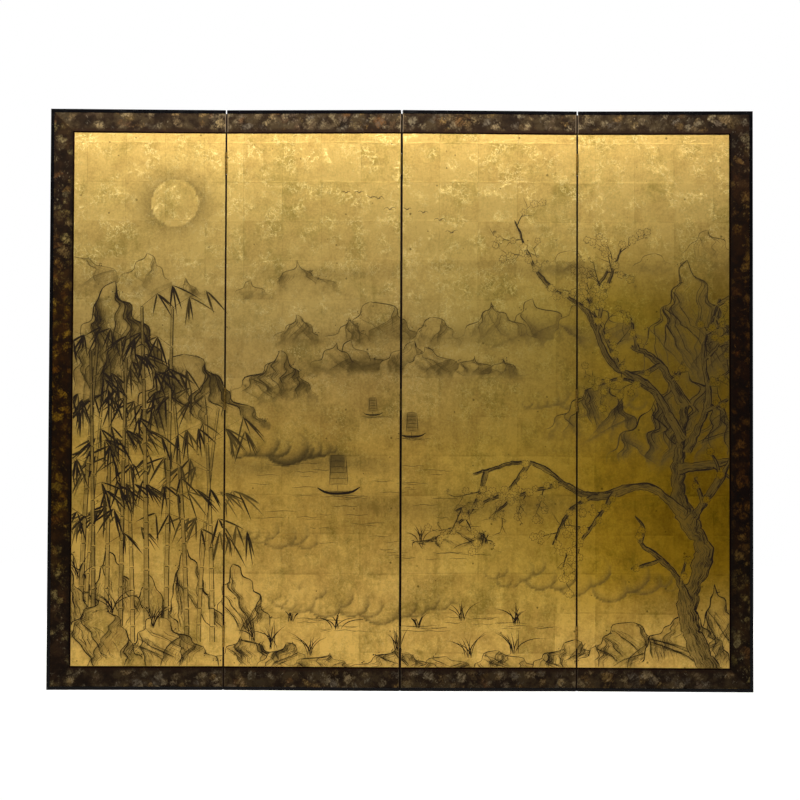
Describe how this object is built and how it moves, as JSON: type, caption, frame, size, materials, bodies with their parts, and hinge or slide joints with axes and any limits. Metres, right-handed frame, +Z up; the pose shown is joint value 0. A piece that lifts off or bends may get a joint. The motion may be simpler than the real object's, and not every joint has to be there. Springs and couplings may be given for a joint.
{
  "type": "byobu folding screen",
  "caption": "Low folding room screen of flat papered leaves hinged edge to edge, with a gold field, a mottled border and a slim dark frame.",
  "frame": {"origin": "on the floor, at the middle of the screen's footprint as it stands at rest", "axes": "+Z up; X along the row of leaves, +X to the viewer's right; the painted side faces -Y"},
  "size_m": [1.8312, 0.0376, 1.511],
  "materials": {
    "cedar": "planed cedar, unfinished inside and stained dark at the seam edges",
    "gilded_paper": "gold leaf squares on layered paper, with brown-black ink, satin",
    "back_paper": "dark brown handmade paper, matt",
    "border_paper": "mottled dark bronze paper, satin",
    "black_lacquer": "black lacquer, gloss",
    "hinge_brass": "aged brass, satin",
    "screw_brass": "aged brass, satin"
  },
  "bodies": {
    "leaf_1": {"leaf_1_back_panel": "back_paper", "leaf_1_border_bottom": "border_paper", "leaf_1_border_side": "border_paper", "leaf_1_border_top": "border_paper", "leaf_1_frame_bottom": "black_lacquer", "leaf_1_frame_side": "black_lacquer", "leaf_1_frame_top": "black_lacquer", "leaf_1_inner_bead": "black_lacquer", "leaf_1_lattice": "cedar", "leaf_1_painted_panel": "gilded_paper", "leaf_1_rails": "cedar", "leaf_1_stiles": "cedar", "seam_1_hinge_pins": "hinge_brass", "seam_1_hinge_plates_left": "hinge_brass", "seam_1_screws_left": "screw_brass"},
    "leaf_2": {"leaf_2_back_panel": "back_paper", "leaf_2_border_bottom": "border_paper", "leaf_2_border_top": "border_paper", "leaf_2_frame_bottom": "black_lacquer", "leaf_2_frame_top": "black_lacquer", "leaf_2_inner_bead": "black_lacquer", "leaf_2_lattice": "cedar", "leaf_2_painted_panel": "gilded_paper", "leaf_2_rails": "cedar", "leaf_2_stiles": "cedar", "seam_2_hinge_pins": "hinge_brass", "seam_2_hinge_plates_left": "hinge_brass", "seam_2_screws_left": "screw_brass", "seam_1_hinge_plates_right": "hinge_brass", "seam_1_screws_right": "screw_brass"},
    "leaf_3": {"leaf_3_back_panel": "back_paper", "leaf_3_border_bottom": "border_paper", "leaf_3_border_top": "border_paper", "leaf_3_frame_bottom": "black_lacquer", "leaf_3_frame_top": "black_lacquer", "leaf_3_inner_bead": "black_lacquer", "leaf_3_lattice": "cedar", "leaf_3_painted_panel": "gilded_paper", "leaf_3_rails": "cedar", "leaf_3_stiles": "cedar", "seam_3_hinge_pins": "hinge_brass", "seam_3_hinge_plates_left": "hinge_brass", "seam_3_screws_left": "screw_brass", "seam_2_hinge_plates_right": "hinge_brass", "seam_2_screws_right": "screw_brass"},
    "leaf_4": {"leaf_4_back_panel": "back_paper", "leaf_4_border_bottom": "border_paper", "leaf_4_border_side": "border_paper", "leaf_4_border_top": "border_paper", "leaf_4_frame_bottom": "black_lacquer", "leaf_4_frame_side": "black_lacquer", "leaf_4_frame_top": "black_lacquer", "leaf_4_inner_bead": "black_lacquer", "leaf_4_lattice": "cedar", "leaf_4_painted_panel": "gilded_paper", "leaf_4_rails": "cedar", "leaf_4_stiles": "cedar", "seam_3_hinge_plates_right": "hinge_brass", "seam_3_screws_right": "screw_brass"}
  },
  "joints": [
    {"name": "seam_1_fold", "type": "hinge", "parent": "leaf_2", "child": "leaf_1", "pos_m": [-0.45839, -0.0039, 0.7555], "axis": [0, 0, 1], "range_deg": [-4, 176]},
    {"name": "seam_2_fold", "type": "hinge", "parent": "leaf_2", "child": "leaf_3", "pos_m": [0, 0.0051, 0.7555], "axis": [0, 0, 1], "range_deg": [-4, 176]},
    {"name": "seam_3_fold", "type": "hinge", "parent": "leaf_3", "child": "leaf_4", "pos_m": [0.45839, -0.0039, 0.7555], "axis": [0, 0, -1], "range_deg": [-4, 176]}
  ]
}
